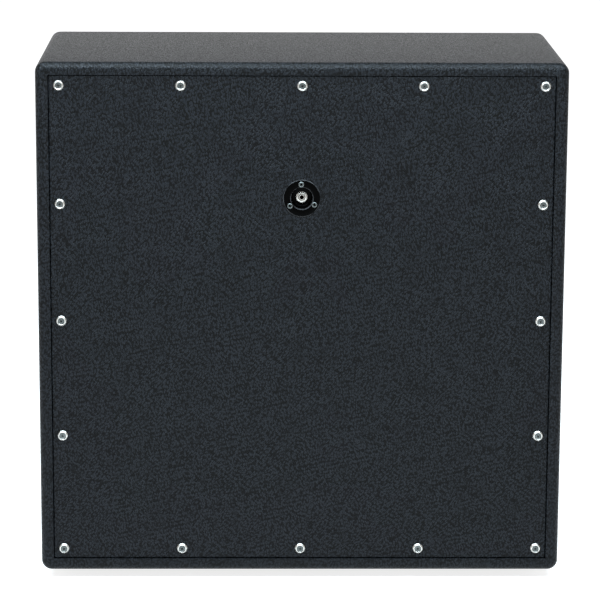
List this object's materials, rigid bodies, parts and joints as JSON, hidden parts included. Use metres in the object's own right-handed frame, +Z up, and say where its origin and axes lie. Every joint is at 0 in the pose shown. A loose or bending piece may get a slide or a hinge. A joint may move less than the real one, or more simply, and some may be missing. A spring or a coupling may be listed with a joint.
{
  "type": "guitar speaker cabinet",
  "caption": "Straight-fronted closed-back guitar speaker cabinet in black grained vinyl, with screwed back panel, recessed jack dish, side handles and rubber feet.",
  "frame": {"origin": "on the floor, under the middle of the cabinet", "axes": "+Z up, +Y out of the back panel, so the grille faces -Y, and +X to the right as seen from the front"},
  "size_m": [0.775, 0.365, 0.777],
  "materials": {
    "vinyl": "black vinyl covering with a fine pebbled levant grain and a low sheen",
    "plywood": "birch plywood, bare inside the case",
    "softwood": "planed softwood",
    "grille_cloth": "woven speaker cloth, black with fine grey flecks",
    "hook_and_loop": "black hook-and-loop pad",
    "piping": "off-white vinyl piping",
    "bright_nickel": "bright nickel plate",
    "dish_plastic": "glossy black moulded plastic",
    "black_steel": "black oxide steel",
    "phenolic": "brown laminate",
    "spring_brass": "spring brass",
    "handle_plastic": "textured black moulded plastic",
    "zinc_steel": "zinc-plated steel",
    "rubber": "black rubber",
    "gasket_card": "pressed card",
    "ferrite": "dark grey ferrite",
    "doped_cloth": "doped black cloth edge",
    "spider_cloth": "amber resin-stiffened cloth",
    "tinned_brass": "tinned brass lugs on a laminate board",
    "lead_plastic": "black insulated wire",
    "clip_plastic": "natural nylon",
    "basket_paint": "black painted pressed steel",
    "cone_paper": "dark grey ribless paper",
    "cap_paper": "dark grey paper",
    "coil_copper": "copper winding on a thin former"
  },
  "bodies": {
    "cabinet": {"back_cleats": "softwood", "back_panel": "plywood", "back_panel_covering": "vinyl", "back_panel_screws": "bright_nickel", "baffle_board": "plywood", "baffle_screws": "black_steel", "basket_1": "basket_paint", "basket_2": "basket_paint", "basket_3": "basket_paint", "basket_4": "basket_paint", "bottom_wall": "plywood", "case_covering": "vinyl", "centre_post": "softwood", "cup_washers": "bright_nickel", "driver_bolts": "black_steel", "driver_gaskets": "gasket_card", "driver_terminals": "tinned_brass", "foot_screws": "zinc_steel", "front_cleats": "softwood", "grille_cloth": "grille_cloth", "grille_frame": "softwood", "grille_pads": "hook_and_loop", "handle_rods": "zinc_steel", "handle_screws": "black_steel", "jack_dish": "dish_plastic", "jack_dish_screws": "bright_nickel", "jack_frame": "bright_nickel", "jack_insulator": "phenolic", "jack_nut": "bright_nickel", "jack_tip_lug": "spring_brass", "jack_washer": "bright_nickel", "lead_clips": "clip_plastic", "left_handle_dish": "handle_plastic", "left_handle_grip": "handle_plastic", "left_wall": "plywood", "magnets": "ferrite", "motor_steel": "zinc_steel", "piping": "piping", "right_handle_dish": "handle_plastic", "right_handle_grip": "handle_plastic", "right_wall": "plywood", "rubber_feet": "rubber", "speaker_leads": "lead_plastic", "spiders": "spider_cloth", "surrounds": "doped_cloth", "tee_nuts": "zinc_steel", "top_wall": "plywood"},
    "cone_unit_1": {"cone_1": "cone_paper", "dust_cap_1": "cap_paper", "voice_coil_1": "coil_copper"},
    "cone_unit_2": {"cone_2": "cone_paper", "dust_cap_2": "cap_paper", "voice_coil_2": "coil_copper"},
    "cone_unit_3": {"cone_3": "cone_paper", "dust_cap_3": "cap_paper", "voice_coil_3": "coil_copper"},
    "cone_unit_4": {"cone_4": "cone_paper", "dust_cap_4": "cap_paper", "voice_coil_4": "coil_copper"},
    "tip_contact": {"jack_tip_contact": "spring_brass"}
  },
  "joints": [
    {"name": "cone_1_travel", "type": "slide", "parent": "cabinet", "child": "cone_unit_1", "axis": [0, -1, 0], "range_m": [-0.003, 0.003], "stiffness_N_per_m": 8000, "deforming": ["surrounds", "spiders"]},
    {"name": "cone_2_travel", "type": "slide", "parent": "cabinet", "child": "cone_unit_2", "axis": [0, -1, 0], "range_m": [-0.003, 0.003], "stiffness_N_per_m": 8000},
    {"name": "cone_3_travel", "type": "slide", "parent": "cabinet", "child": "cone_unit_3", "axis": [0, -1, 0], "range_m": [-0.003, 0.003], "stiffness_N_per_m": 8000},
    {"name": "cone_4_travel", "type": "slide", "parent": "cabinet", "child": "cone_unit_4", "axis": [0, -1, 0], "range_m": [-0.003, 0.003], "stiffness_N_per_m": 8000},
    {"name": "tip_contact_spring", "type": "hinge", "parent": "cabinet", "child": "tip_contact", "pos_m": [0, 0.1504, 0.568], "axis": [1, 0, 0], "range_deg": [0, 8], "stiffness_Nm_per_rad": 0.004, "springref_deg": -5.73}
  ],
  "couplings": [
    {"joint": "cone_2_travel", "follows": "cone_1_travel", "ratio": 1},
    {"joint": "cone_3_travel", "follows": "cone_1_travel", "ratio": 1},
    {"joint": "cone_4_travel", "follows": "cone_1_travel", "ratio": 1}
  ]
}
